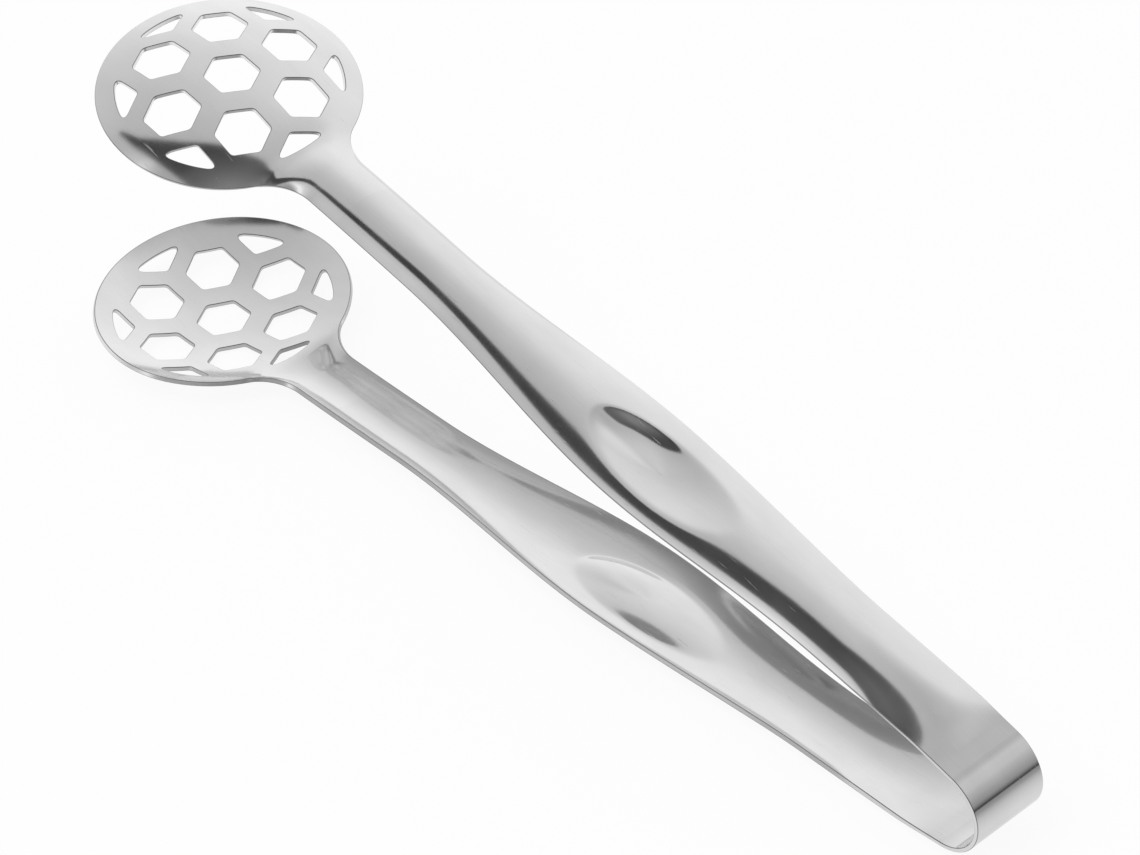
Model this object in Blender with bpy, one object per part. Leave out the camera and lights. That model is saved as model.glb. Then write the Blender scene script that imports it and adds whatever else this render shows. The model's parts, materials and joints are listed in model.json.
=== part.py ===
"""Barbecue tongs with perforated round bowls.

The tongs are one strip of stainless sheet: a spring bow in the middle of the strip, two channelled
arms that grow out of it, and a dished, perforated bowl at the end of each arm. Lengths are in
metres. The arms are modelled about a middle plane that halves the opening, and the whole is then
laid on a table on the outside of its lower arm and lower bowl.
"""

import math

import bpy
from mathutils import Matrix, Vector
from mathutils.geometry import delaunay_2d_cdt

# The sheet
SHEET_THICKNESS = 0.0009
SEAM_GAP = 0.0003

# Spring bow and the flat legs that leave it, at the middle of the sheet
BOW_RADIUS = 0.0086
STRIP_WIDTH = 0.0168
LEG_LENGTH = 0.0090
LEG_ANGLE = math.radians(10.0)
LEG_BEND_REACH = 0.0025

# Arms: places are distances along the arm from the end of its flat leg
ARM_ANGLE = math.radians(5.1)
ARM_LENGTH = 0.1635
STRAIGHT_REACH = 0.024
GRIP_PLACE = 0.075
GRIP_WIDTH = 0.0224
NECK_LENGTH = 0.0325
NECK_WIDTH = 0.0139

# The arch across each arm, from its edges to its crest
CROWN_REACH = 0.026
BACK_CROWN = 0.0023
GRIP_CROWN = 0.0028
NECK_CROWN = 0.0024

# How far the arm's edges wander from a straight line, seen from the side
SWAY_START = 0.035
GRIP_DIP = 0.0007
NECK_RISE = 0.00085
NECK_RISE_SETBACK = 0.0075

# Thumb rest pressed into the crest of each arm
THUMB_REST_PLACE = 0.070
THUMB_REST_LENGTH = 0.036
THUMB_REST_WIDTH = 0.0142
THUMB_REST_DEPTH = 0.0020
THUMB_FLOOR_SHARE = 0.30

# Bowls
BOWL_WIDTH = 0.0520
BOWL_LENGTH = 0.0470
BOWL_DEPTH = 0.0053
BOWL_CURVE_POWER = 2.4
NECK_FILLET = 0.0100
NECK_STUB = 0.0135
CROWN_FADE_REACH = 0.0145
CROWN_FADE_SETBACK = 0.0035

# Holes, laid out on the round blank before it is drawn shorter lengthwise
HOLE_PITCH = 0.0145
HOLE_FLATS = 0.0097
HOLE_FIELD_RADIUS = 0.0223
EDGE_HOLE_START = 0.0181
HOLE_CORNER_CUT = 0.0007

# Where the weight hangs along the tongs, as a share of the overall length
BALANCE_SHARE = 0.52

# Fineness of the surfaces
ARM_STEP = 0.0026
ARM_COLUMNS = 12
BOW_STEPS = 32
BOW_COLUMNS = 2
RIM_STEP = 0.0015
BOWL_GRID_STEP = 0.0024
CORNER_STEPS = 2
CORNER_ANGLE = math.radians(25.0)
TABLE_STATIONS = 160
GRID_CLEARANCE_SHARE = 0.55
MERGE_SHARE = 0.01

# Steel of each form: colour and roughness
BOW_STEEL = ((0.58, 0.58, 0.58), 0.16)
ARM_STEEL = ((0.60, 0.60, 0.60), 0.20)
BOWL_STEEL = ((0.62, 0.62, 0.62), 0.22)

HALF_GAP = SEAM_GAP / 2
HALF_NECK = NECK_WIDTH / 2
HALF_BOWL_LENGTH = BOWL_LENGTH / 2
HALF_BOWL_WIDTH = BOWL_WIDTH / 2
BOWL_CENTRE = ARM_LENGTH + HALF_BOWL_LENGTH
BOWL_SEAM = ARM_LENGTH - NECK_STUB
LENGTHWISE_DRAW = BOWL_LENGTH / BOWL_WIDTH


def smooth_step(value):
    """Ease from 0 to 1 with level ends."""
    value = min(max(value, 0.0), 1.0)
    return value * value * (3.0 - 2.0 * value)


def eased(place, stations):
    """Read a size at a place between hand-set stations, level at each of them."""
    result = stations[0][1]
    for (start, first), (end, second) in zip(stations, stations[1:]):
        if place >= start:
            result = first + (second - first) * smooth_step((place - start) / (end - start))
    return result


def remove_everything():
    for item in list(bpy.data.objects):
        bpy.data.objects.remove(item, do_unlink=True)


def steel(name, look):
    colour, roughness = look
    material = bpy.data.materials.new(name)
    material.use_nodes = True
    shader = material.node_tree.nodes["Principled BSDF"]
    shader.inputs["Base Color"].default_value = (*colour, 1.0)
    shader.inputs["Metallic"].default_value = 1.0
    shader.inputs["Roughness"].default_value = roughness
    return material


def rim_point(angle):
    """A point of the oval rim and its outward normal."""
    point = (BOWL_CENTRE - HALF_BOWL_LENGTH * math.cos(angle), HALF_BOWL_WIDTH * math.sin(angle))
    normal = Vector((-HALF_BOWL_WIDTH * math.cos(angle), HALF_BOWL_LENGTH * math.sin(angle)))
    normal.normalize()
    return point, normal


def neck_fillet():
    """Find the arc that joins the neck's straight edge to the bowl's oval rim.

    Returns the arc's centre along the arm and the rim angle at which it runs into the oval,
    counted from the neck side of the bowl.
    """
    low, high = 0.0, math.pi / 2
    for _ in range(60):
        angle = (low + high) / 2
        point, normal = rim_point(angle)
        if point[1] + NECK_FILLET * normal[1] < HALF_NECK + NECK_FILLET:
            low = angle
        else:
            high = angle
    point, normal = rim_point(high)
    return point[0] + NECK_FILLET * normal[0], high


FILLET_PLACE, FILLET_RIM_ANGLE = neck_fillet()


def half_width(place):
    """Half the width of the strip, arm or bowl at a place along the arm."""
    if place <= FILLET_PLACE:
        stations = (
            (STRAIGHT_REACH, STRIP_WIDTH / 2),
            (GRIP_PLACE, GRIP_WIDTH / 2),
            (ARM_LENGTH - NECK_LENGTH, HALF_NECK),
        )
        return eased(place, stations)
    rim_start = rim_point(FILLET_RIM_ANGLE)[0][0]
    if place < rim_start:
        drop = math.sqrt(NECK_FILLET**2 - (place - FILLET_PLACE) ** 2)
        return HALF_NECK + NECK_FILLET - drop
    lengthwise = min(abs(place - BOWL_CENTRE) / HALF_BOWL_LENGTH, 1.0)
    return HALF_BOWL_WIDTH * math.sqrt(1.0 - lengthwise**2)


def leg_height(place):
    """The flat leg falls away behind the arm's line, with a short bend between the two."""
    slope = math.tan(LEG_ANGLE - ARM_ANGLE)
    if place >= LEG_BEND_REACH:
        return 0.0
    if place <= -LEG_BEND_REACH:
        return slope * place
    return -slope * (LEG_BEND_REACH - place) ** 2 / (4 * LEG_BEND_REACH)


def edge_height(place):
    """Height of the arm's edges over its straight line."""
    rise_place = ARM_LENGTH - NECK_RISE_SETBACK
    stations = (
        (SWAY_START, 0.0),
        (THUMB_REST_PLACE, -GRIP_DIP),
        (rise_place, NECK_RISE),
        (BOWL_CENTRE - HALF_BOWL_LENGTH / 2, 0.0),
    )
    return leg_height(place) + eased(place, stations)


def crown(place):
    """Height of the arch across the arm."""
    fade_start = ARM_LENGTH - CROWN_FADE_SETBACK
    stations = (
        (0.0, 0.0),
        (CROWN_REACH, BACK_CROWN),
        (GRIP_PLACE, GRIP_CROWN),
        (ARM_LENGTH - NECK_LENGTH, NECK_CROWN),
        (fade_start, NECK_CROWN),
        (fade_start + CROWN_FADE_REACH, 0.0),
    )
    return eased(place, stations)


def arch_height(place, side):
    """Circular arch between the two edges of the strip."""
    height = crown(place)
    reach = half_width(place)
    if height <= 0.0 or reach <= abs(side):
        return 0.0
    radius = (reach**2 + height**2) / (2 * height)
    return math.sqrt(radius**2 - side**2) - (radius - height)


def thumb_rest_height(place, side):
    """Depth of the thumb rest: a level floor with walls that ease into the crest."""
    lengthwise = 2 * (place - THUMB_REST_PLACE) / THUMB_REST_LENGTH
    across = 2 * side / THUMB_REST_WIDTH
    reach = math.hypot(lengthwise, across)
    wall = (1.0 - reach) / (1.0 - THUMB_FLOOR_SHARE)
    return THUMB_REST_DEPTH * smooth_step(wall)


def dish_height(place, side):
    """The bowl's dished shape, zero at its oval rim and beyond."""
    reach = math.hypot((place - BOWL_CENTRE) / HALF_BOWL_LENGTH, side / HALF_BOWL_WIDTH)
    if reach >= 1.0:
        return 0.0
    return BOWL_DEPTH * (1.0 - reach**BOWL_CURVE_POWER)


def sheet_height(place, side):
    """Height of the middle of the sheet over the arm's straight line."""
    arch = arch_height(place, side)
    dish = dish_height(place, side)
    formed = (arch**3 + dish**3) ** (1 / 3)
    return edge_height(place) + formed - thumb_rest_height(place, side)


def hinge_point(side):
    """Where the leg of the arm on side +1 or -1 meets the bow."""
    return BOW_RADIUS * Vector((1.0 - math.sin(LEG_ANGLE), 0.0, side * math.cos(LEG_ANGLE)))


def arm_frame(side):
    """Turn arm coordinates (along, across, outward) into the tongs' own."""
    leg = LEG_LENGTH * Vector((math.cos(LEG_ANGLE), 0.0, side * math.sin(LEG_ANGLE)))
    turn = Matrix.Rotation(-side * ARM_ANGLE, 4, "Y")
    return Matrix.Translation(hinge_point(side) + leg) @ turn


def sheet_object(name, points, faces, material):
    """Make a formed sheet from its middle surface."""
    mesh = bpy.data.meshes.new(name)
    mesh.from_pydata([tuple(point) for point in points], [], faces)
    mesh.shade_smooth()
    mesh.materials.append(material)
    item = bpy.data.objects.new(name, mesh)
    bpy.context.scene.collection.objects.link(item)
    solidify = item.modifiers.new("Sheet", "SOLIDIFY")
    solidify.thickness = SHEET_THICKNESS
    solidify.offset = 0.0
    solidify.use_even_offset = True
    solidify.use_quality_normals = True
    return item


def grid_faces(rows, columns):
    """Quads between neighbouring rows of a grid with one more point than columns."""
    faces = []
    width = columns + 1
    for row in range(rows):
        for column in range(columns):
            corner = row * width + column
            faces.append((corner, corner + 1, corner + width + 1, corner + width))
    return faces


def spring_bow(material):
    """The round bow, whose ends stop half a seam short of the legs."""
    end_angle = math.pi / 2 - LEG_ANGLE - HALF_GAP / BOW_RADIUS
    points = []
    for step in range(BOW_STEPS + 1):
        angle = end_angle * (2 * step / BOW_STEPS - 1.0)
        along = BOW_RADIUS * (1.0 - math.cos(angle))
        height = BOW_RADIUS * math.sin(angle)
        for column in range(BOW_COLUMNS + 1):
            points.append((along, STRIP_WIDTH * (column / BOW_COLUMNS - 0.5), height))
    return sheet_object("spring_bow", points, grid_faces(BOW_STEPS, BOW_COLUMNS), material)


def arm(name, side, material):
    """A flat leg and the channelled arm, from the bow's seam to the bowl's seam."""
    start = HALF_GAP - LEG_LENGTH * math.cos(LEG_ANGLE - ARM_ANGLE)
    end = BOWL_SEAM - HALF_GAP
    places = [start, -LEG_BEND_REACH]
    steps = math.ceil((end + LEG_BEND_REACH) / ARM_STEP)
    for step in range(1, steps + 1):
        places.append(-LEG_BEND_REACH + (end + LEG_BEND_REACH) * step / steps)
    frame = arm_frame(side)
    points = []
    for place in places:
        reach = half_width(place)
        for column in range(ARM_COLUMNS + 1):
            across = reach * (2 * column / ARM_COLUMNS - 1.0)
            points.append(frame @ Vector((place, across, side * sheet_height(place, across))))
    return sheet_object(name, points, grid_faces(len(places) - 1, ARM_COLUMNS), material)


def bowl_outline():
    """The bowl's outline: neck edges, fillets and oval rim, counter-clockwise."""
    half = []
    seam = BOWL_SEAM + HALF_GAP
    neck_steps = math.ceil((FILLET_PLACE - seam) / RIM_STEP)
    for step in range(neck_steps):
        half.append((seam + (FILLET_PLACE - seam) * step / neck_steps, HALF_NECK))
    normal = rim_point(FILLET_RIM_ANGLE)[1]
    sweep = math.pi / 2 + math.atan2(-normal[1], -normal[0])
    fillet_steps = math.ceil(abs(sweep) * NECK_FILLET / RIM_STEP)
    for step in range(fillet_steps):
        turn = sweep * step / fillet_steps - math.pi / 2
        along = FILLET_PLACE + NECK_FILLET * math.cos(turn)
        half.append((along, HALF_NECK + NECK_FILLET * (1.0 + math.sin(turn))))
    rim_steps = math.ceil((math.pi - FILLET_RIM_ANGLE) * HALF_BOWL_WIDTH / RIM_STEP)
    for step in range(rim_steps + 1):
        angle = FILLET_RIM_ANGLE + (math.pi - FILLET_RIM_ANGLE) * step / rim_steps
        half.append(rim_point(angle)[0])
    mirrored = [(along, -across) for along, across in half]
    end = []
    for column in range(1, ARM_COLUMNS):
        end.append((seam, HALF_NECK * (1.0 - 2 * column / ARM_COLUMNS)))
    return mirrored[:-1] + half[::-1] + end


def clipped_to_field(corners):
    """Keep the part of a hole inside the round perforated field, closed by the field's arc."""
    kept = []
    leaving = None
    count = len(corners)
    start = next(index for index in range(count) if corners[index].length <= HOLE_FIELD_RADIUS)
    for offset in range(count):
        first = corners[(start + offset) % count]
        second = corners[(start + offset + 1) % count]
        crossing = field_crossing(first, second)
        if first.length <= HOLE_FIELD_RADIUS:
            kept.append(first)
            if crossing:
                leaving = crossing
        elif crossing:
            kept.extend(field_arc(leaving, crossing))
    return kept


def field_crossing(first, second):
    """Where a hole's edge crosses the rim of the perforated field, if it does."""
    if (first.length <= HOLE_FIELD_RADIUS) == (second.length <= HOLE_FIELD_RADIUS):
        return None
    low, high = first, second
    if first.length > HOLE_FIELD_RADIUS:
        low, high = second, first
    for _ in range(50):
        middle = (low + high) / 2
        if middle.length <= HOLE_FIELD_RADIUS:
            low = middle
        else:
            high = middle
    return low


def field_arc(first, second):
    """Points along the rim of the perforated field."""
    start = math.atan2(first.y, first.x)
    turn = math.remainder(math.atan2(second.y, second.x) - start, math.tau)
    steps = max(math.ceil(abs(turn) * HOLE_FIELD_RADIUS / RIM_STEP), 1)
    arc = []
    for step in range(steps + 1):
        angle = start + turn * step / steps
        arc.append(HOLE_FIELD_RADIUS * Vector((math.cos(angle), math.sin(angle))))
    return arc


def softened(corners):
    """Round each real corner of an outline with a short curve."""
    result = []
    count = len(corners)
    for index, corner in enumerate(corners):
        before = corners[index - 1] - corner
        after = corners[(index + 1) % count] - corner
        if math.pi - before.angle(after) < CORNER_ANGLE:
            result.append(corner)
            continue
        reach = min(HOLE_CORNER_CUT, before.length / 2, after.length / 2)
        first = corner + reach * before.normalized()
        last = corner + reach * after.normalized()
        for step in range(CORNER_STEPS + 1):
            share = step / CORNER_STEPS
            curve = first.lerp(corner, share).lerp(corner.lerp(last, share), share)
            result.append(curve)
    return result


def divided(corners):
    """Split the long edges of an outline so that it can follow the dish."""
    result = []
    for first, second in zip(corners, corners[1:] + corners[:1]):
        steps = max(round((second - first).length / BOWL_GRID_STEP), 1)
        for step in range(steps):
            result.append(first.lerp(second, step / steps))
    return result


def bowl_holes():
    """Seven whole hexagons and six cut by the edge of the perforated field."""
    whole_radius = HOLE_FLATS / math.sqrt(3.0)
    edge_distance = HOLE_PITCH * math.sqrt(3.0)
    places = [(0.0, 0.0, whole_radius)]
    for turn in range(6):
        places.append((HOLE_PITCH, math.radians(30 + 60 * turn), whole_radius))
        places.append((edge_distance, math.radians(60 * turn), edge_distance - EDGE_HOLE_START))
    holes = []
    for distance, bearing, corner_radius in places:
        centre = distance * Vector((math.cos(bearing), math.sin(bearing)))
        corners = []
        for turn in range(6):
            angle = math.radians(60 * turn)
            corners.append(centre + corner_radius * Vector((math.cos(angle), math.sin(angle))))
        if max(corner.length for corner in corners) > HOLE_FIELD_RADIUS:
            if min(corner.length for corner in corners) >= HOLE_FIELD_RADIUS:
                continue
            corners = clipped_to_field(corners)
        outline = divided(softened(corners))
        holes.append([(BOWL_CENTRE + LENGTHWISE_DRAW * point.x, point.y) for point in outline])
    return holes


def inside(point, polygon):
    """Whether a point lies inside a polygon."""
    result = False
    for (x1, y1), (x2, y2) in zip(polygon, polygon[1:] + polygon[:1]):
        if (y1 > point[1]) != (y2 > point[1]):
            if point[0] < x1 + (x2 - x1) * (point[1] - y1) / (y2 - y1):
                result = not result
    return result


def grid_points(outline, holes):
    """A triangular grid of points on the sheet, clear of its edges."""
    edge_points = outline + [point for hole in holes for point in hole]
    row_step = BOWL_GRID_STEP * math.sqrt(3.0) / 2
    rows = math.ceil((BOWL_CENTRE + HALF_BOWL_LENGTH - BOWL_SEAM) / row_step)
    half_columns = math.ceil(HALF_BOWL_WIDTH / BOWL_GRID_STEP)
    points = []
    for row in range(rows):
        along = BOWL_CENTRE + HALF_BOWL_LENGTH - row * row_step
        shift = BOWL_GRID_STEP / 2 * (row % 2)
        for column in range(-half_columns, half_columns + 1):
            point = (along, column * BOWL_GRID_STEP + shift)
            clearance = min(math.dist(point, edge) for edge in edge_points)
            if clearance < BOWL_GRID_STEP * GRID_CLEARANCE_SHARE or not inside(point, outline):
                continue
            if any(inside(point, hole) for hole in holes):
                continue
            points.append(point)
    return points


def bowl(name, side, material):
    """A perforated bowl with the short neck that carries it."""
    outline = bowl_outline()
    holes = bowl_holes()
    flat = []
    edges = []
    for loop in [outline] + holes:
        start = len(flat)
        count = len(loop)
        flat.extend(loop)
        edges.extend((start + index, start + (index + 1) % count) for index in range(count))
    flat.extend(grid_points(outline, holes))
    within_outline = 1
    merge_distance = HALF_GAP * MERGE_SHARE
    corners, _, triangles, _, _, _ = delaunay_2d_cdt(
        [Vector(point) for point in flat], edges, [], within_outline, merge_distance
    )
    faces = []
    for triangle in triangles:
        middle = sum((corners[index] for index in triangle), Vector((0.0, 0.0))) / len(triangle)
        if not any(inside(middle, hole) for hole in holes):
            faces.append(triangle)
    frame = arm_frame(side)
    points = []
    for corner in corners:
        height = sheet_height(corner.x, corner.y)
        points.append(frame @ Vector((corner.x, corner.y, side * height)))
    return sheet_object(name, points, faces, material)


def hang_from(item, parent, point):
    """Put an object's origin at a point of the tongs and carry it by its parent empty."""
    item.data.transform(Matrix.Translation(-point))
    item.parent = parent


def empty(name, parent, place):
    item = bpy.data.objects.new(name, None)
    item.location = place
    item.parent = parent
    bpy.context.scene.collection.objects.link(item)
    return item


def skin_points(items):
    """World points of the finished skins."""
    bpy.context.view_layer.update()
    graph = bpy.context.evaluated_depsgraph_get()
    points = []
    for item in items:
        solid = item.evaluated_get(graph)
        mesh = solid.to_mesh()
        points.extend(solid.matrix_world @ vertex.co for vertex in mesh.vertices)
        solid.to_mesh_clear()
    return points


def lay_on_table(root, lower_items):
    """Tilt and lift the tongs until the lower arm and the lower bowl both touch the table."""
    points = skin_points(lower_items)
    length = max(point.x for point in points)
    station = length / TABLE_STATIONS
    lowest = {}
    for point in points:
        key = math.floor(point.x / station)
        if key not in lowest or point.z < lowest[key].z:
            lowest[key] = point
    balance = BALANCE_SHARE * length
    behind = [point for point in lowest.values() if point.x < balance]
    ahead = [point for point in lowest.values() if point.x > balance]

    def line_height(pair):
        first, second = pair
        share = (balance - first.x) / (second.x - first.x)
        return first.z + share * (second.z - first.z)

    first, second = min(((near, far) for near in behind for far in ahead), key=line_height)
    root.rotation_euler.y = math.atan2(second.z - first.z, second.x - first.x)
    points = skin_points(item for item in bpy.data.objects if item.type == "MESH")
    root.location.x = -(min(point.x for point in points) + max(point.x for point in points)) / 2
    root.location.z = -min(point.z for point in points)
    bpy.context.view_layer.update()


def main():
    remove_everything()
    table_rest = empty("table_rest", None, (0.0, 0.0, 0.0))
    lower_hinge = empty("lower_hinge", table_rest, hinge_point(-1))
    upper_hinge = empty("upper_hinge", lower_hinge, hinge_point(1) - hinge_point(-1))

    lower_arm = arm("lower_arm", -1, steel("lower_arm_steel", ARM_STEEL))
    lower_bowl = bowl("lower_bowl", -1, steel("lower_bowl_steel", BOWL_STEEL))
    bow = spring_bow(steel("spring_bow_steel", BOW_STEEL))
    upper_arm = arm("upper_arm", 1, steel("upper_arm_steel", ARM_STEEL))
    upper_bowl = bowl("upper_bowl", 1, steel("upper_bowl_steel", BOWL_STEEL))

    lower_arm.parent = table_rest
    lower_bowl.parent = table_rest
    hang_from(bow, lower_hinge, hinge_point(-1))
    hang_from(upper_arm, upper_hinge, hinge_point(1))
    hang_from(upper_bowl, upper_hinge, hinge_point(1))
    lay_on_table(table_rest, [lower_arm, lower_bowl])


main()
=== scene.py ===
"""Barbecue tongs in polished stainless sheet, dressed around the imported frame.

The strip is drawn once more as one formed sheet with rounded cut edges. It is split where the frame
splits it, and each split has the same section on both sides, so that no seam shows. Lengths are in
metres. Places on an arm are (along, across): along the arm from the end of its flat leg, and across
the strip from its middle.
"""

import json
import math

import bpy
import numpy as np
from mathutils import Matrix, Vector
from mathutils.geometry import delaunay_2d_cdt


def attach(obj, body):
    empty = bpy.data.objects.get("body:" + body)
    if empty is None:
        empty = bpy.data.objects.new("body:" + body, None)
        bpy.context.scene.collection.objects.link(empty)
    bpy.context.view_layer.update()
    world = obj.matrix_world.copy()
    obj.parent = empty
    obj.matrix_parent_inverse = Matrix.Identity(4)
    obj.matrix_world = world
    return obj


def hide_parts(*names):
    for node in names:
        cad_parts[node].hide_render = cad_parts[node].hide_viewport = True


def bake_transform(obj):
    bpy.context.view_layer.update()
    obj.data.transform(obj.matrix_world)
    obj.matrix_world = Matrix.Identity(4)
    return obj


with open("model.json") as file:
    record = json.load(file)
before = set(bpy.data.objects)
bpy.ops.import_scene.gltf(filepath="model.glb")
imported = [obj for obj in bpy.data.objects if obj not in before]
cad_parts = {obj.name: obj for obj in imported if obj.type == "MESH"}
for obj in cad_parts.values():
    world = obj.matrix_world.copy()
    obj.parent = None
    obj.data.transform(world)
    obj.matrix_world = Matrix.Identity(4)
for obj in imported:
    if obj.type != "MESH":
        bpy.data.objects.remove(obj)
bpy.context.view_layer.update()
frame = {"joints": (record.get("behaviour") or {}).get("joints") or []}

# The sheet and its cut edge
SHEET_THICKNESS = 0.0009
EDGE_RADIUS = 0.00016
EDGE_STEPS = 3

# Bow and flat legs
LEG_LENGTH = 0.0090
LEG_ANGLE = math.radians(10.0)
LEG_BEND_REACH = 0.0025
STRIP_WIDTH = 0.0168

# Arms
ARM_ANGLE = math.radians(5.1)
ARM_LENGTH = 0.1635
STRAIGHT_REACH = 0.024
GRIP_PLACE = 0.075
GRIP_WIDTH = 0.0224
NECK_LENGTH = 0.0325
NECK_WIDTH = 0.0139
CHANNEL_START = -0.0060
CHANNEL_SWELL = 0.62
CROWN_REACH = 0.022
BACK_CROWN = 0.00225
GRIP_CROWN = 0.0028
NECK_CROWN = 0.0024
SWAY_START = 0.035
GRIP_DIP = 0.0007
NECK_RISE = 0.00085
NECK_RISE_SETBACK = 0.0075

# Thumb rest
THUMB_REST_PLACE = 0.070
THUMB_REST_LENGTH = 0.036
THUMB_REST_WIDTH = 0.0138
THUMB_REST_OFFSET = 0.0010
THUMB_REST_DEPTH = 0.00195
THUMB_STEEP_BEARING = math.radians(30.0)
THUMB_GENTLE_RIM, THUMB_STEEP_RIM = 0.20, 0.13
THUMB_GENTLE_POWER, THUMB_STEEP_POWER = 2.0, 3.5
THUMB_STEEP_FOCUS = 3

# Bowls and their holes
BOWL_WIDTH = 0.0520
BOWL_LENGTH = 0.0470
BOWL_DEPTH = 0.0053
BOWL_CURVE_POWER = 2.4
NECK_FILLET = 0.0100
NECK_STUB = 0.0135
CROWN_FADE_REACH = 0.0145
CROWN_FADE_SETBACK = 0.0035
HOLE_PITCH = 0.0145
HOLE_FLATS = 0.0097
HOLE_FIELD_RADIUS = 0.0223
EDGE_HOLE_START = 0.0181
HOLE_CORNER_CUT = 0.0007
HOLE_TIP_CUT = 0.0022

# The steel's brightness, roughness and strength of grain, piece by piece
BOW_STEEL = (0.63, 0.09, 0.10)
ARM_STEEL = (0.66, 0.11, 0.05)
BOWL_STEEL = (0.68, 0.11, 0.06)
# Noise on the sheet: fineness per metre along and across, fineness through the sheet, and detail
GRAIN_NOISE = ((60.0, 5200.0, 3.0), 3.0)
CLOUD_NOISE = ((90.0, 160.0, 5.0), 2.0)
# Two sets of scratches: noise, turn, and the noise's level where a scratch begins and is full
SCRATCHES = (
    ((110.0, 2900.0, 7.0), 1.0, math.radians(24.0), 0.70, 0.76),
    ((130.0, 3300.0, 11.0), 1.0, math.radians(-37.0), 0.72, 0.78),
)
NOISE_LOW, NOISE_HIGH = 0.3, 0.7
CLOUD_TINT = (0.97, 1.03)
GRAIN_TINT = (0.985, 1.015)
SMOOTHEST_SHARE, ROUGHEST_SHARE = 0.88, 1.14
SCRATCH_ROUGHNESS = 0.22
SCRATCH_RELIEF = 0.6
RELIEF_HEIGHT = 0.00001
# The mark through the sheet is 1 on its faces and at most this on its cut edge
EDGE_MARK = 0.5
# Marks between which the cut edge passes into its corner, and the corner into the face
EDGE_TO_CORNER = (0.33, 0.41)
CORNER_TO_FACE = (0.80, 0.97)
# Share of the steel's colour on the cut edge, a painted highlight, and the cut edge's extra
# roughness
CUT_EDGE_PAINTED_HIGHLIGHT = 1.12
CUT_EDGE_ROUGHNESS = 0.10
# Share of the steel's colour on the corners between cut edge and face, a painted dark reflection
CORNER_PAINTED_DARK_REFLECTION = 0.40

# Fineness of the surfaces and of what is worked out step by step
ARM_STEP = 0.0005
COLUMNS = 64
BOW_STEPS = 90
OUTLINE_STEP = 0.0005
BOWL_STEP = 0.0008
CORNER_STEPS = 5
TIP_STEPS = 12
CORNER_ANGLE = math.radians(25.0)
SLOPE_STEP = 0.00001
GRID_CLEARANCE_SHARE = 0.55
HALVINGS = 60

# Camera, as the photograph was taken
CAMERA_PLACE = Vector((-0.5516, 0.5276, 0.6935))
CAMERA_AIM = Vector((-0.0063, 0.0006, 0.0328))
CAMERA_ROLL = math.radians(-0.627)
CAMERA_LENS = 176.0
CAMERA_SENSOR = 36.0

# Floor and light
FLOOR_REACH = 2.5
FLOOR_DROP = 0.0001
FLOOR_COLOUR = (0.86, 0.86, 0.86, 1.0)
# The tent's brightness on the far side by the direction's y, and along the tongs by its x
TENT_FAR = (
    (-1.0, 1.10), (-0.9, 1.09), (-0.75, 1.06), (-0.6, 0.96), (-0.45, 0.83), (-0.3, 0.74),
    (-0.1, 0.66),
)
TENT_ALONG = (
    (-1.0, 0.30), (-0.85, 0.40), (-0.74, 0.64), (-0.56, 0.88), (0.0, 0.97), (0.3, 1.0),
    (0.65, 1.12), (0.85, 1.22),
)
# Its brightness on the near side by the direction's x, and the y at which that side takes over
TENT_NEAR = (
    (-0.3, 0.42), (0.0, 0.45), (0.06, 0.75), (0.12, 1.40), (0.2, 0.90), (0.3, 0.72),
    (0.42, 0.50), (0.60, 0.48), (0.85, 0.9),
)
NEAR_START, NEAR_FULL = 0.17, 0.40
# The dark gap at its foot behind the bow by the direction's height, and the gap's reach by its x
TENT_FOOT = ((-0.01, 0.20), (0.04, 0.22), (0.12, 0.75), (0.20, 1.0))
FOOT_FULL, FOOT_END = -0.80, -0.55
# Dark panel overhead: its height, its brightness along and across the tongs, and its outline
PANEL_HEIGHT = 0.56
PANEL_ALONG = (
    (-0.25, 0.62), (-0.10, 0.55), (-0.04, 0.32), (0.02, 0.15), (0.14, 0.12), (0.25, 0.05),
    (0.35, 0.07),
)
PANEL_ACROSS = ((-0.19, 0.26), (-0.10, 0.28), (-0.04, 0.37), (0.02, 0.52), (0.13, 0.54))
PANEL_CORNERS = (
    (-0.250, -0.190), (-0.092, -0.160), (-0.030, -0.110), (0.050, -0.055), (0.120, 0.010),
    (0.190, 0.055), (0.250, 0.090), (0.348, 0.103), (0.352, 0.115), (0.247, 0.130),
    (0.085, 0.130), (-0.078, 0.130), (-0.250, 0.123),
)
# Grey veil just over the panel: its oval's centre and half lengths, and how much light it takes
VEIL = (Vector((-0.130, -0.36)), 0.20, 0.25)
VEIL_HEIGHT = 0.57
VEIL_DEPTH = 0.24
VEIL_INNER_SHARE = 0.3
# The floor's brightness in the steel by its x, and the shares of its glow in view and in the steel
FLOOR_FADE = ((-0.30, 0.30), (-0.20, 0.38), (-0.16, 0.62), (-0.136, 0.87), (-0.12, 1.05))
FLOOR_SHARE_IN_VIEW, FLOOR_SHARE_IN_STEEL = 0.92, 0.80
# The tongs' own shade on the floor, as the steel sees it: its oval, and how dark it is
FLOOR_SHADE = (Vector((0.012, 0.0)), 0.130, 0.076)
SHADE_DEPTH = 0.64
SHADE_INNER_SHARE = 0.4
# A soft lamp that the steel doesn't show
LAMP_PLACE = Vector((0.25, 0.55, 1.35))
LAMP_SIZE = 1.1
LAMP_POWER = 9.0

HALF_SHEET = SHEET_THICKNESS / 2
HALF_NECK = NECK_WIDTH / 2
HALF_BOWL_LENGTH = BOWL_LENGTH / 2
HALF_BOWL_WIDTH = BOWL_WIDTH / 2
BOWL_CENTRE = ARM_LENGTH + HALF_BOWL_LENGTH
BOWL_SEAM = ARM_LENGTH - NECK_STUB
LENGTHWISE_DRAW = BOWL_LENGTH / BOWL_WIDTH
LEG_START = -LEG_LENGTH * math.cos(LEG_ANGLE - ARM_ANGLE)
MERGE_DISTANCE = EDGE_RADIUS / 1000

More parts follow.
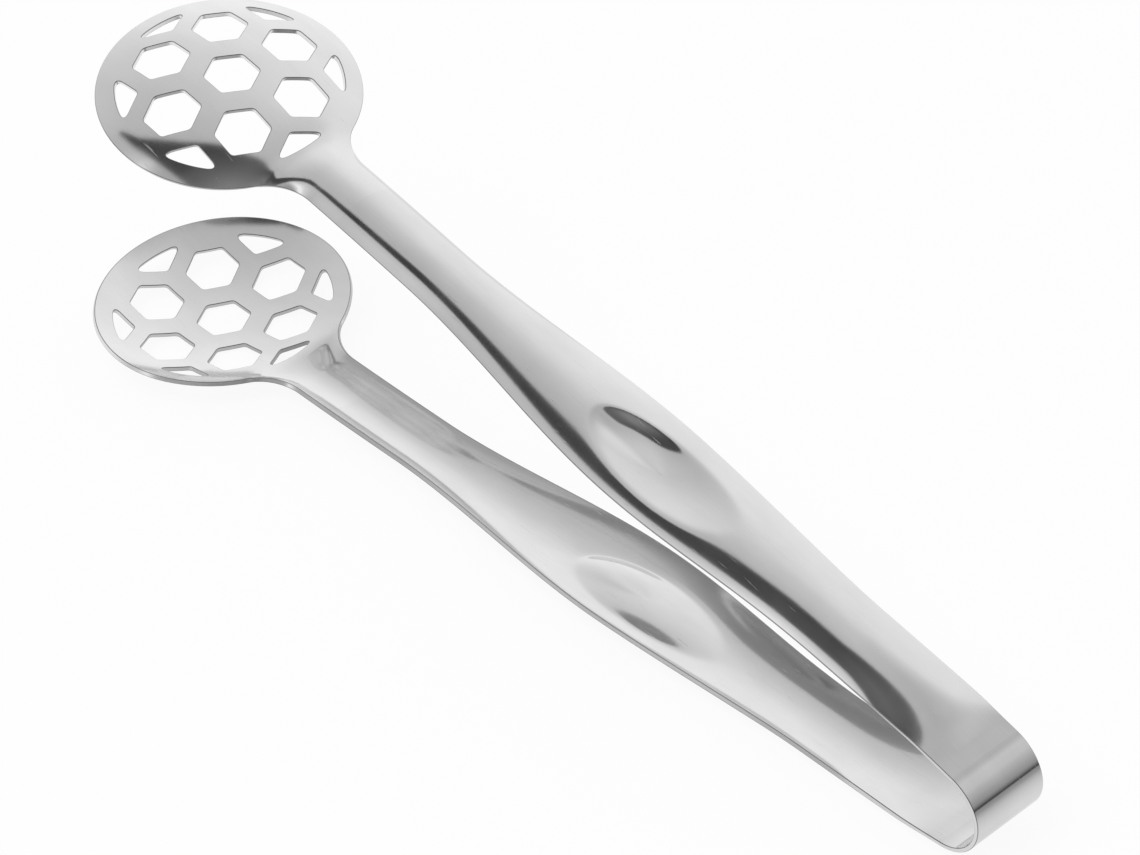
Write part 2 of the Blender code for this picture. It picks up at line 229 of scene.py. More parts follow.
# The frame's two hinges give the bow's radius and how the tongs lie
HINGES = {joint["name"]: Vector(joint["pos_m"]) for joint in frame["joints"]}
LOWER_HINGE = HINGES["lower_bow_flex"]
UPPER_HINGE = HINGES["upper_bow_flex"]
UPWARD = (UPPER_HINGE - LOWER_HINGE).normalized()
ONWARD = Vector((0.0, 1.0, 0.0)).cross(UPWARD)
BOW_RADIUS = (UPPER_HINGE - LOWER_HINGE).length / (2 * math.cos(LEG_ANGLE))
BOW_BACK = (UPPER_HINGE + LOWER_HINGE) / 2 - ONWARD * BOW_RADIUS * (1.0 - math.sin(LEG_ANGLE))


# Shape of the sheet, for arrays of places


def smooth_step(value):
    """Ease from 0 to 1 with level ends."""
    value = np.clip(value, 0.0, 1.0)
    return value * value * (3.0 - 2.0 * value)


def eased(place, stations):
    """Read a size at places between given stations, level at each of them."""
    result = np.full_like(place, stations[0][1])
    for (start, first), (end, second) in zip(stations, stations[1:]):
        between = first + (second - first) * smooth_step((place - start) / (end - start))
        result = np.where(place >= start, between, result)
    return result


def rim_point(angle):
    """A point of the bowl's oval rim and its outward normal, the angle counted from the neck."""
    cosine, sine = math.cos(angle), math.sin(angle)
    point = np.array((BOWL_CENTRE - HALF_BOWL_LENGTH * cosine, HALF_BOWL_WIDTH * sine))
    normal = np.array((-HALF_BOWL_WIDTH * cosine, HALF_BOWL_LENGTH * sine))
    return point, normal / np.linalg.norm(normal)


def neck_fillet():
    """Find the arc that joins the neck's straight edge to the bowl's oval rim."""
    low, high = 0.0, math.pi / 2
    for _ in range(HALVINGS):
        angle = (low + high) / 2
        point, normal = rim_point(angle)
        if point[1] + NECK_FILLET * normal[1] < HALF_NECK + NECK_FILLET:
            low = angle
        else:
            high = angle
    point, normal = rim_point(high)
    return point[0] + NECK_FILLET * normal[0], high


FILLET_PLACE, FILLET_RIM_ANGLE = neck_fillet()


def half_width(place):
    """Half the sheet's width along the arm, the fillet and the bowl's oval."""
    stations = (
        (STRAIGHT_REACH, STRIP_WIDTH / 2),
        (GRIP_PLACE, GRIP_WIDTH / 2),
        (ARM_LENGTH - NECK_LENGTH, HALF_NECK),
    )
    arm_reach = eased(place, stations)
    rim_start = rim_point(FILLET_RIM_ANGLE)[0][0]
    drop = np.sqrt(np.clip(NECK_FILLET**2 - (place - FILLET_PLACE) ** 2, 0.0, None))
    fillet_reach = HALF_NECK + NECK_FILLET - drop
    lengthwise = np.clip(np.abs(place - BOWL_CENTRE) / HALF_BOWL_LENGTH, 0.0, 1.0)
    bowl_reach = HALF_BOWL_WIDTH * np.sqrt(1.0 - lengthwise**2)
    beyond_arm = np.where(place < rim_start, fillet_reach, bowl_reach)
    return np.where(place <= FILLET_PLACE, arm_reach, beyond_arm)


def edge_height(place):
    """Height of the edges: the flat leg falls away behind the arm, which wanders a little."""
    slope = math.tan(LEG_ANGLE - ARM_ANGLE)
    bend = -slope * (LEG_BEND_REACH - place) ** 2 / (4 * LEG_BEND_REACH)
    bend = np.where(place < LEG_BEND_REACH, bend, 0.0)
    leg = np.where(place <= -LEG_BEND_REACH, slope * place, bend)
    stations = (
        (SWAY_START, 0.0),
        (THUMB_REST_PLACE, -GRIP_DIP),
        (ARM_LENGTH - NECK_RISE_SETBACK, NECK_RISE),
        (BOWL_CENTRE - HALF_BOWL_LENGTH / 2, 0.0),
    )
    return leg + eased(place, stations)


def crown(place):
    """Height of the arch across the arm: it swells out of the flat leg, and fades into the bowl."""
    fade_start = ARM_LENGTH - CROWN_FADE_SETBACK
    stations = (
        (CROWN_REACH, BACK_CROWN),
        (GRIP_PLACE, GRIP_CROWN),
        (ARM_LENGTH - NECK_LENGTH, NECK_CROWN),
        (fade_start, NECK_CROWN),
        (fade_start + CROWN_FADE_REACH, 0.0),
    )
    run_in = np.clip((place - CHANNEL_START) / (CROWN_REACH - CHANNEL_START), 0.0, 1.0)
    swell = BACK_CROWN * smooth_step(run_in**CHANNEL_SWELL)
    return np.where(place < CROWN_REACH, swell, eased(place, stations))


def arch_height(place, side):
    """Height of the circular arch over the line between the edges."""
    height = crown(place)
    reach = half_width(place)
    arched = (height > 0.0) & (reach > np.abs(side))
    safe_height = np.where(arched, height, 1.0)
    radius = (reach**2 + safe_height**2) / (2 * safe_height)
    arch = np.sqrt(np.clip(radius**2 - side**2, 0.0, None)) - (radius - safe_height)
    return np.where(arched, arch, 0.0)


def thumb_rest_depth(place, side):
    """An oval hollow with a softened rim, steepest towards the bowl and the far edge."""
    lengthwise = 2 * (place - THUMB_REST_PLACE) / THUMB_REST_LENGTH
    across = 2 * (side - THUMB_REST_OFFSET) / THUMB_REST_WIDTH
    reach = np.hypot(lengthwise, across)
    steep = lengthwise * math.cos(THUMB_STEEP_BEARING) - across * math.sin(THUMB_STEEP_BEARING)
    steepness = smooth_step(steep / np.maximum(reach, SLOPE_STEP)) ** THUMB_STEEP_FOCUS
    power = THUMB_GENTLE_POWER + (THUMB_STEEP_POWER - THUMB_GENTLE_POWER) * steepness
    fall = 1.0 - reach**power
    rim = THUMB_GENTLE_RIM + (THUMB_STEEP_RIM - THUMB_GENTLE_RIM) * steepness
    return THUMB_REST_DEPTH * (fall + np.sqrt(fall**2 + rim**2)) / 2


def sheet_height(place, side):
    """Height of the middle of the sheet over the arm's straight line."""
    reach = np.hypot((place - BOWL_CENTRE) / HALF_BOWL_LENGTH, side / HALF_BOWL_WIDTH)
    dish = BOWL_DEPTH * (1.0 - np.minimum(reach, 1.0) ** BOWL_CURVE_POWER)
    formed = np.cbrt(arch_height(place, side) ** 3 + dish**3)
    return edge_height(place) + formed - thumb_rest_depth(place, side)


def arm_surface(places):
    """Middle of the sheet and its outward normal, for an upper arm, in the tongs' own axes."""
    along, across = places[:, 0], places[:, 1]
    height = sheet_height(along, across)
    ahead, behind = along + SLOPE_STEP, along - SLOPE_STEP
    rise_along = sheet_height(ahead, across) - sheet_height(behind, across)
    left, right = across + SLOPE_STEP, across - SLOPE_STEP
    rise_across = sheet_height(along, left) - sheet_height(along, right)
    run = 2 * SLOPE_STEP
    normal = np.column_stack((-rise_along / run, -rise_across / run, np.ones_like(along)))
    normal /= np.linalg.norm(normal, axis=1)[:, None]
    turn = np.array(
        (
            (math.cos(ARM_ANGLE), 0.0, -math.sin(ARM_ANGLE)),
            (0.0, 1.0, 0.0),
            (math.sin(ARM_ANGLE), 0.0, math.cos(ARM_ANGLE)),
        )
    )
    leg_end = np.array(
        (
            BOW_RADIUS * (1.0 - math.sin(LEG_ANGLE)) + LEG_LENGTH * math.cos(LEG_ANGLE),
            0.0,
            BOW_RADIUS * math.cos(LEG_ANGLE) + LEG_LENGTH * math.sin(LEG_ANGLE),
        )
    )
    points = np.column_stack((along, across, height)) @ turn.T + leg_end
    return points, normal @ turn.T


def bow_surface(places):
    """The same for the upper half of the bow, with arc lengths that end at the leg."""
    angle = (places[:, 0] - LEG_START) / BOW_RADIUS + math.pi / 2 - LEG_ANGLE
    normal = np.column_stack((-np.cos(angle), np.zeros_like(angle), np.sin(angle)))
    points = BOW_RADIUS * normal
    points[:, 0] += BOW_RADIUS
    points[:, 1] = places[:, 1]
    return points, normal


# Flat patterns: places, faces, cut edges and seams


def strip_pattern(rows):
    """A grid over a stretch of strip between two seams."""
    places = []
    for row in rows:
        reach = float(half_width(np.array([row]))[0]) - EDGE_RADIUS
        places.extend((row, reach * (2 * column / COLUMNS - 1.0)) for column in range(COLUMNS + 1))
    width = COLUMNS + 1
    count = len(rows)
    faces = []
    for row in range(count - 1):
        for column in range(COLUMNS):
            corner = row * width + column
            faces.append((corner, corner + width, corner + width + 1, corner + 1))
    near = [row * width + COLUMNS for row in range(count)][::-1]
    far = [row * width for row in range(count)]
    first = list(range(width))[::-1]
    last = list(range((count - 1) * width, count * width))
    return np.array(places), faces, [(far, False), (near, False)], [first, last]


def bowl_outline():
    """The bowl's cut edge from seam to seam, counter-clockwise."""
    half = []
    neck_steps = math.ceil((FILLET_PLACE - BOWL_SEAM) / OUTLINE_STEP)
    for step in range(neck_steps):
        half.append((BOWL_SEAM + (FILLET_PLACE - BOWL_SEAM) * step / neck_steps, HALF_NECK))
    normal = rim_point(FILLET_RIM_ANGLE)[1]
    sweep = math.pi / 2 + math.atan2(-normal[1], -normal[0])
    fillet_steps = math.ceil(abs(sweep) * NECK_FILLET / OUTLINE_STEP)
    for step in range(fillet_steps):
        turn = sweep * step / fillet_steps - math.pi / 2
        along = FILLET_PLACE + NECK_FILLET * math.cos(turn)
        half.append((along, HALF_NECK + NECK_FILLET * (1.0 + math.sin(turn))))
    rim_sweep = math.pi - FILLET_RIM_ANGLE
    rim_steps = math.ceil(rim_sweep * HALF_BOWL_WIDTH / OUTLINE_STEP)
    for step in range(rim_steps + 1):
        half.append(tuple(rim_point(FILLET_RIM_ANGLE + rim_sweep * step / rim_steps)[0]))
    mirrored = [(along, -across) for along, across in half]
    return np.array(mirrored[:-1] + half[::-1])


def drawn_in(outline, closed):
    """Move an edge into the sheet, which lies on its left, by the edge's radius."""
    ahead = np.roll(outline, -1, axis=0)
    behind = np.roll(outline, 1, axis=0)
    if not closed:
        ahead[-1] = outline[-1]
        behind[0] = outline[0]
    run = ahead - behind
    if not closed:
        run[0, 1] = 0.0
        run[-1, 1] = 0.0
    run /= np.linalg.norm(run, axis=1)[:, None]
    return outline + EDGE_RADIUS * np.column_stack((-run[:, 1], run[:, 0]))


def field_crossing(first, second):
    """Where a hole's edge crosses the rim of the perforated field, if it does."""
    if (first.length <= HOLE_FIELD_RADIUS) == (second.length <= HOLE_FIELD_RADIUS):
        return None
    low, high = (first, second) if first.length <= HOLE_FIELD_RADIUS else (second, first)
    for _ in range(HALVINGS):
        middle = (low + high) / 2
        low, high = (middle, high) if middle.length <= HOLE_FIELD_RADIUS else (low, middle)
    return low


def rounded(before, corner, after, steps):
    """A short curve that rounds a corner, from the place before it to the place after it."""
    shares = [step / steps for step in range(steps + 1)]
    return [before.lerp(corner, share).lerp(corner.lerp(after, share), share) for share in shares]


def clipped_to_field(corners):
    """Keep a hole's part inside the perforated field, closed by its arc, with blunt tips."""
    kept = []
    leaving = None
    count = len(corners)
    start = next(index for index in range(count) if corners[index].length <= HOLE_FIELD_RADIUS)
    for offset in range(count):
        first = corners[(start + offset) % count]
        second = corners[(start + offset + 1) % count]
        crossing = field_crossing(first, second)
        if first.length <= HOLE_FIELD_RADIUS:
            kept.append(first)
            leaving = crossing or leaving
        elif crossing:
            begin = math.atan2(leaving.y, leaving.x)
            turn = math.remainder(math.atan2(crossing.y, crossing.x) - begin, math.tau)
            tip_turn = math.copysign(HOLE_TIP_CUT / HOLE_FIELD_RADIUS, turn)
            begin += tip_turn
            turn -= 2 * tip_turn
            steps = max(math.ceil(abs(turn) * HOLE_FIELD_RADIUS / OUTLINE_STEP), 1)
            arc = []
            for step in range(steps + 1):
                angle = begin + turn * step / steps
                arc.append(HOLE_FIELD_RADIUS * Vector((math.cos(angle), math.sin(angle))))
            side_end = leaving + HOLE_TIP_CUT * (kept[-1] - leaving).normalized()
            side_start = crossing + HOLE_TIP_CUT * (second - crossing).normalized()
            kept += rounded(side_end, leaving, arc[0], TIP_STEPS)
            kept += arc[1:-1]
            kept += rounded(arc[-1], crossing, side_start, TIP_STEPS)
    return kept


def softened(corners):
    """Round each real corner of an outline with a short curve."""
    result = []
    for index, corner in enumerate(corners):
        before = corners[index - 1] - corner
        after = corners[(index + 1) % len(corners)] - corner
        if math.pi - before.angle(after) < CORNER_ANGLE:
            result.append(corner)
            continue
        reach = min(HOLE_CORNER_CUT, before.length / 2, after.length / 2)
        first = corner + reach * before.normalized()
        last = corner + reach * after.normalized()
        result.extend(rounded(first, corner, last, CORNER_STEPS))
    return result


def divided(corners):
    """Split the long edges of an outline so that it can follow the dish."""
    result = []
    for first, second in zip(corners, corners[1:] + corners[:1]):
        steps = max(round((second - first).length / OUTLINE_STEP), 1)
        result.extend(first.lerp(second, step / steps) for step in range(steps))
    return result


def bowl_holes():
    """Seven whole hexagons and six cut by the perforated field's rim, each clockwise."""
    whole_radius = HOLE_FLATS / math.sqrt(3.0)
    edge_distance = HOLE_PITCH * math.sqrt(3.0)
    places = [(0.0, 0.0, whole_radius)]
    for turn in range(6):
        places.append((HOLE_PITCH, math.radians(30 + 60 * turn), whole_radius))
        places.append((edge_distance, math.radians(60 * turn), edge_distance - EDGE_HOLE_START))
    holes = []
    for distance, bearing, corner_radius in places:
        centre = distance * Vector((math.cos(bearing), math.sin(bearing)))
        corners = []
        for turn in range(6):
            angle = math.radians(60 * turn)
            corners.append(centre + corner_radius * Vector((math.cos(angle), math.sin(angle))))
        if max(corner.length for corner in corners) > HOLE_FIELD_RADIUS:
            corners = clipped_to_field(corners)
        outline = divided(softened(corners))
        hole = [(BOWL_CENTRE + LENGTHWISE_DRAW * point.x, point.y) for point in outline]
        holes.append(np.array(hole[::-1]))
    return holes


def inside(points, polygon):
    """Which points lie inside a polygon."""
    result = np.zeros(len(points), bool)
    for (x1, y1), (x2, y2) in zip(polygon, np.roll(polygon, -1, axis=0)):
        crosses = (y1 > points[:, 1]) != (y2 > points[:, 1])
        if crosses.any():
            reach = x1 + (x2 - x1) * (points[:, 1] - y1) / (y2 - y1 if y2 != y1 else 1.0)
            result ^= crosses & (points[:, 0] < reach)
    return result


def bowl_pattern():
    """The perforated bowl and its short neck as a triangulated flat pattern."""
    cut = drawn_in(bowl_outline(), False)
    holes = [drawn_in(hole, True) for hole in bowl_holes()]
    reach = HALF_NECK - EDGE_RADIUS
    seam = np.array(
        [(BOWL_SEAM, reach * (1.0 - 2 * column / COLUMNS)) for column in range(1, COLUMNS)]
    )
    outline = np.vstack((cut, seam))
    loops = [outline] + holes

    row_step = BOWL_STEP * math.sqrt(3.0) / 2
    rows = math.ceil((BOWL_CENTRE + HALF_BOWL_LENGTH - BOWL_SEAM) / row_step)
    half_columns = math.ceil(HALF_BOWL_WIDTH / BOWL_STEP)
    columns = range(-half_columns, half_columns + 1)
    grid = []
    for row in range(rows):
        along = BOWL_CENTRE + HALF_BOWL_LENGTH - row * row_step
        shift = BOWL_STEP / 2 * (row % 2)
        grid.extend((along, column * BOWL_STEP + shift) for column in columns)
    grid = np.array(grid)
    edge_points = np.vstack(loops)
    keep = inside(grid, outline)
    for hole in holes:
        keep &= ~inside(grid, hole)
    grid = grid[keep]
    clearance = np.array([np.hypot(*(edge_points - point).T).min() for point in grid])
    grid = grid[clearance > BOWL_STEP * GRID_CLEARANCE_SHARE]

    flat = [Vector(point) for point in np.vstack(loops + [grid])]
    edges = []
    start = 0
    for loop in loops:
        count = len(loop)
        edges.extend((start + index, start + (index + 1) % count) for index in range(count))
        start += count
    inside_only = 1
    found, _, triangles, sources, _, _ = delaunay_2d_cdt(
        flat, edges, [], inside_only, MERGE_DISTANCE
    )
    places = np.array([tuple(point) for point in found])
    middles = places[np.array(triangles)].mean(axis=1)
    solid = np.ones(len(triangles), bool)
    for hole in holes:
        solid &= ~inside(middles, hole)
    faces = [tuple(triangle) for triangle, keep in zip(triangles, solid) if keep]
    place_of = {source: index for index, group in enumerate(sources) for source in group}
    chains = [([place_of[index] for index in range(len(cut))], False)]
    start = len(outline)
    for hole in holes:
        chains.append(([place_of[start + index] for index in range(len(hole))], True))
        start += len(hole)
    seam_chain = [place_of[len(cut) - 1]]
    seam_chain += [place_of[index] for index in range(len(cut), len(outline))]
    seam_chain += [place_of[0]]
    return places, faces, chains, [seam_chain]


# From flat pattern to sheet


def edge_profile():
    """Shares of (outward, up) from the middle of the drawn-in edge, round the cut edge."""
    flat_part = HALF_SHEET - EDGE_RADIUS
    profile = []
    for step in range(EDGE_STEPS + 1):
        angle = math.pi / 2 * step / EDGE_STEPS
        out, up = math.sin(angle), math.cos(angle)
        profile.append(((out, up), (EDGE_RADIUS * out, flat_part + EDGE_RADIUS * up)))
    lower = [((out, -up), (x, -z)) for (out, up), (x, z) in profile[::-1]]
    return (profile + lower)[1:-1]


def to_frame(vectors, side, is_point):
    """Turn the tongs' own axes into the frame's, mirrored for the lower arm."""
    axes = np.array((ONWARD, (0.0, 1.0, 0.0), UPWARD * side))
    result = vectors @ axes
    return result + np.array(BOW_BACK) if is_point else result


def formed_sheet(name, pattern, surface, side, material):
    """Give a flat pattern its form, its thickness and rounded cut edges."""
    places, faces, chains, seams = pattern
    middle, normal = surface(places)
    count = len(places)
    points = [middle + HALF_SHEET * normal, middle - HALF_SHEET * normal]
    normals = [normal, -normal]
    marks = [np.column_stack((places, np.ones(count))), np.column_stack((places, -np.ones(count)))]
    all_faces = [tuple(face) for face in faces]
    all_faces += [tuple(index + count for index in face[::-1]) for face in faces]
    profile = edge_profile()
    rings = {}
    total = 2 * count
    for chain, closed in chains:
        along = middle[chain]
        ahead, behind = np.roll(along, -1, axis=0), np.roll(along, 1, axis=0)
        if not closed:
            ahead[-1], behind[0] = along[-1], along[0]
        outward = np.cross(ahead - behind, normal[chain])
        outward /= np.linalg.norm(outward, axis=1)[:, None]
        length = len(chain)
        starts = []
        for (out, up), (x, z) in profile:
            points.append(along + x * outward + z * normal[chain])
            normals.append(out * outward + up * normal[chain])
            depth = np.full(length, z / HALF_SHEET * EDGE_MARK)
            marks.append(np.column_stack((places[chain], depth)))
            starts.append(total)
            total += length
        columns = []
        for index in range(length):
            column = [chain[index]] + [start + index for start in starts] + [chain[index] + count]
            columns.append(column)
            rings[chain[index]] = column
        pairs = list(zip(columns, columns[1:]))
        if closed:
            pairs.append((columns[-1], columns[0]))
        for first, second in pairs:
            for low in range(len(first) - 1):
                all_faces.append((first[low], first[low + 1], second[low + 1], second[low]))
    cap_start = len(all_faces)
    for seam in seams:
        for first, second in zip(seam, seam[1:]):
            all_faces.append((first, first + count, second + count, second))
        all_faces.append(tuple(rings[seam[0]][::-1]))
        all_faces.append(tuple(rings[seam[-1]]))
    if side < 0:
        all_faces = [face[::-1] for face in all_faces]

    mesh = bpy.data.meshes.new(name)
    world_points = to_frame(np.vstack(points), side, True)
    mesh.from_pydata(world_points.tolist(), [], all_faces)
    mesh.shade_smooth()
    loop_vertices = np.zeros(len(mesh.loops), np.int32)
    mesh.loops.foreach_get("vertex_index", loop_vertices)
    loop_normals = to_frame(np.vstack(normals), side, False)[loop_vertices]
    for polygon in list(mesh.polygons)[cap_start:]:
        polygon.use_smooth = False
        loop_normals[polygon.loop_start : polygon.loop_start + polygon.loop_total] = polygon.normal
    mesh.normals_split_custom_set(loop_normals.tolist())
    mark = mesh.attributes.new("sheet_place", "FLOAT_VECTOR", "POINT")
    mark.data.foreach_set("vector", np.vstack(marks).astype(np.float32).ravel())
    mesh.materials.append(material)
    item = bpy.data.objects.new(name, mesh)
    bpy.context.scene.collection.objects.link(item)
    return item


# Materials


def link(tree, source, target):
    """Join two sockets."""
    tree.links.new(source, target)


def math_node(tree, operation, *values):
    """A calculation on one or two values, each a number or a socket."""
    node = tree.nodes.new("ShaderNodeMath")
    node.operation = operation
    for socket, value in zip(node.inputs, values):
        if isinstance(value, (int, float)):
            socket.default_value = value
        else:
            link(tree, value, socket)
    return node.outputs[0]


def stretched_noise(tree, place, scale, detail, turn=0.0):
    """Noise on the sheet with its own fineness (per metre) along and across."""
    mapping = tree.nodes.new("ShaderNodeMapping")
    mapping.inputs["Scale"].default_value = scale
    mapping.inputs["Rotation"].default_value = (0.0, 0.0, turn)
    link(tree, place, mapping.inputs["Vector"])
    noise = tree.nodes.new("ShaderNodeTexNoise")
    noise.inputs["Scale"].default_value = 1.0
    noise.inputs["Detail"].default_value = detail
    link(tree, mapping.outputs[0], noise.inputs["Vector"])
    return noise.outputs["Fac"]


def ranged(tree, value, low, high, to_low, to_high):
    """Turn one range of values into another, and hold it at its ends."""
    node = tree.nodes.new("ShaderNodeMapRange")
    for socket, number in zip(node.inputs[1:], (low, high, to_low, to_high)):
        socket.default_value = number
    link(tree, value, node.inputs[0])
    return node.outputs[0]


def steel(name, looks):
    """Stainless sheet: grain along the strip, cloudy sheen, fine scratches, and cut edges with a
    painted highlight and a painted dark reflection on their corners.
    """
    level, roughness, grain = looks
    material = bpy.data.materials.new(name)
    material.use_nodes = True
    tree = material.node_tree
    shader = tree.nodes["Principled BSDF"]
    shader.inputs["Metallic"].default_value = 1.0
    attribute = tree.nodes.new("ShaderNodeAttribute")
    attribute.attribute_name = "sheet_place"
    place = attribute.outputs["Vector"]
    parts = tree.nodes.new("ShaderNodeSeparateXYZ")
    link(tree, place, parts.inputs[0])
    depth = math_node(tree, "ABSOLUTE", parts.outputs["Z"])
    cut_edge = ranged(tree, depth, *EDGE_TO_CORNER, 1.0, 0.0)
    past_edge = ranged(tree, depth, *EDGE_TO_CORNER, 0.0, 1.0)
    before_face = ranged(tree, depth, *CORNER_TO_FACE, 1.0, 0.0)
    corner = math_node(tree, "MULTIPLY", past_edge, before_face)

    grain_lines = stretched_noise(tree, place, *GRAIN_NOISE)
    clouds = stretched_noise(tree, place, *CLOUD_NOISE)
    scratch_sets = []
    for fineness, detail, turn, begins, full in SCRATCHES:
        noise = stretched_noise(tree, place, fineness, detail, turn)
        scratch_sets.append(ranged(tree, noise, begins, full, 0.0, 1.0))
    scratches = math_node(tree, "MAXIMUM", *scratch_sets)

    tone_and_painted_light = ranged(tree, clouds, NOISE_LOW, NOISE_HIGH, *CLOUD_TINT)
    # Clouds and grain vary the tone at random; the cut edge gets a painted highlight and its
    # corners a painted dark reflection
    for share in (
        ranged(tree, grain_lines, NOISE_LOW, NOISE_HIGH, *GRAIN_TINT),
        ranged(tree, cut_edge, 0.0, 1.0, 1.0, CUT_EDGE_PAINTED_HIGHLIGHT),
        ranged(tree, corner, 0.0, 1.0, 1.0, CORNER_PAINTED_DARK_REFLECTION),
    ):
        tone_and_painted_light = math_node(tree, "MULTIPLY", tone_and_painted_light, share)
    scale = tree.nodes.new("ShaderNodeVectorMath")
    scale.operation = "SCALE"
    scale.inputs[0].default_value = (level, level, level)
    link(tree, tone_and_painted_light, scale.inputs["Scale"])
    link(tree, scale.outputs[0], shader.inputs["Base Color"])

    smoothest, roughest = roughness * SMOOTHEST_SHARE, roughness * ROUGHEST_SHARE
    rough = ranged(tree, clouds, NOISE_LOW, NOISE_HIGH, smoothest, roughest)
    for value, share in ((scratches, SCRATCH_ROUGHNESS), (cut_edge, CUT_EDGE_ROUGHNESS)):
        rough = math_node(tree, "ADD", rough, math_node(tree, "MULTIPLY", value, share))
    link(tree, rough, shader.inputs["Roughness"])

    sunk = math_node(tree, "MULTIPLY", scratches, SCRATCH_RELIEF)
    relief = math_node(tree, "SUBTRACT", grain_lines, sunk)
    bump = tree.nodes.new("ShaderNodeBump")
    bump.inputs["Strength"].default_value = grain
    bump.inputs["Distance"].default_value = RELIEF_HEIGHT
    link(tree, relief, bump.inputs["Height"])
    link(tree, bump.outputs[0], shader.inputs["Normal"])
    return material


# Studio


def span_of(stops):
    """The first and the last position of given stops."""
    return stops[0][0], stops[-1][0]


def ramp_node(tree, value, stops, span=(-1.0, 1.0)):
    """A brightness read from given stops, which lie within a span of values."""
    low, high = span
    top = max(level for _, level in stops)
    node = tree.nodes.new("ShaderNodeValToRGB")
    ramp = node.color_ramp
    # New elements are made anywhere and then moved
    while len(ramp.elements) < len(stops):
        ramp.elements.new(0.5)
    for element, (position, level) in zip(ramp.elements, stops):
        element.position = (position - low) / (high - low)
        element.color = (level / top, level / top, level / top, 1.0)
    link(tree, ranged(tree, value, low, high, 0.0, 1.0), node.inputs[0])
    return math_node(tree, "MULTIPLY", node.outputs[0], top)


def make_floor():
    """A pale floor that glows evenly in the camera's view, and is shaded as the steel sees it."""
    mesh = bpy.data.meshes.new("floor")
    reach = FLOOR_REACH
    corners = [(-reach, -reach), (reach, -reach), (reach, reach), (-reach, reach)]
    mesh.from_pydata([(x, y, -FLOOR_DROP) for x, y in corners], [], [tuple(range(len(corners)))])
    material = bpy.data.materials.new("pale_floor")
    material.use_nodes = True
    tree = material.node_tree
    tree.nodes.clear()
    output = tree.nodes.new("ShaderNodeOutputMaterial")
    diffuse = tree.nodes.new("ShaderNodeBsdfDiffuse")
    diffuse.inputs["Color"].default_value = FLOOR_COLOUR
    glow = tree.nodes.new("ShaderNodeEmission")
    glow.inputs["Color"].default_value = (1.0, 1.0, 1.0, 1.0)
    path = tree.nodes.new("ShaderNodeLightPath")
    place = tree.nodes.new("ShaderNodeNewGeometry").outputs["Position"]
    parts = tree.nodes.new("ShaderNodeSeparateXYZ")
    link(tree, place, parts.inputs[0])
    fade = ramp_node(tree, parts.outputs["X"], FLOOR_FADE, span_of(FLOOR_FADE))
    from_tongs = oval_reach(tree, parts, FLOOR_SHADE)
    shade = ranged(tree, from_tongs, SHADE_INNER_SHARE, 1.0, SHADE_DEPTH, 0.0)
    fade = math_node(tree, "MULTIPLY", fade, math_node(tree, "SUBTRACT", 1.0, shade))
    strength = tree.nodes.new("ShaderNodeMix")
    link(tree, path.outputs["Is Glossy Ray"], strength.inputs["Factor"])
    strength.inputs["A"].default_value = 1.0
    link(tree, fade, strength.inputs["B"])
    link(tree, strength.outputs["Result"], glow.inputs["Strength"])
    by_camera = math_node(tree, "MULTIPLY", path.outputs["Is Camera Ray"], FLOOR_SHARE_IN_VIEW)
    by_steel = math_node(tree, "MULTIPLY", path.outputs["Is Glossy Ray"], FLOOR_SHARE_IN_STEEL)
    mix = tree.nodes.new("ShaderNodeMixShader")
    link(tree, math_node(tree, "ADD", by_camera, by_steel), mix.inputs[0])
    link(tree, diffuse.outputs[0], mix.inputs[1])
    link(tree, glow.outputs[0], mix.inputs[2])
    link(tree, mix.outputs[0], output.inputs["Surface"])
    mesh.materials.append(material)
    floor = bpy.data.objects.new("floor", mesh)
    bpy.context.scene.collection.objects.link(floor)


def oval_reach(tree, parts, oval):
    """How far a place lies from an oval's centre, 1 at its rim."""
    centre, half_along, half_across = oval
    squares = []
    for axis, middle, half in (("X", centre.x, half_along), ("Y", centre.y, half_across)):
        offset = math_node(tree, "SUBTRACT", parts.outputs[axis], middle)
        share = math_node(tree, "MULTIPLY", offset, 1.0 / half)
        squares.append(math_node(tree, "MULTIPLY", share, share))
    return math_node(tree, "SQRT", math_node(tree, "ADD", *squares))


def make_world():
    """A light tent, dim behind the bow and dark at its foot there, and plain white in view."""
    world = bpy.data.worlds.new("tent")
    bpy.context.scene.world = world
    world.use_nodes = True
    tree = world.node_tree
    background = tree.nodes["Background"]
    parts = tree.nodes.new("ShaderNodeSeparateXYZ")
    link(tree, tree.nodes.new("ShaderNodeTexCoord").outputs["Generated"], parts.inputs[0])
    far = ramp_node(tree, parts.outputs["Y"], TENT_FAR)
    along = ramp_node(tree, parts.outputs["X"], TENT_ALONG)
    near = ramp_node(tree, parts.outputs["X"], TENT_NEAR)
    sides = tree.nodes.new("ShaderNodeMix")
    near_share = ranged(tree, parts.outputs["Y"], NEAR_START, NEAR_FULL, 0.0, 1.0)
    link(tree, near_share, sides.inputs["Factor"])
    link(tree, math_node(tree, "MULTIPLY", far, along), sides.inputs["A"])
    link(tree, near, sides.inputs["B"])

    foot = tree.nodes.new("ShaderNodeMix")
    foot_share = ranged(tree, parts.outputs["X"], FOOT_FULL, FOOT_END, 1.0, 0.0)
    link(tree, foot_share, foot.inputs["Factor"])
    foot.inputs["A"].default_value = 1.0
    by_height = ramp_node(tree, parts.outputs["Z"], TENT_FOOT, span_of(TENT_FOOT))
    link(tree, by_height, foot.inputs["B"])
    tent = math_node(tree, "MULTIPLY", sides.outputs["Result"], foot.outputs["Result"])

    path = tree.nodes.new("ShaderNodeLightPath")
    mix = tree.nodes.new("ShaderNodeMix")
    link(tree, path.outputs["Is Camera Ray"], mix.inputs["Factor"])
    link(tree, tent, mix.inputs["A"])
    mix.inputs["B"].default_value = 1.0
    link(tree, mix.outputs["Result"], background.inputs["Strength"])
    background.inputs["Color"].default_value = (1.0, 1.0, 1.0, 1.0)


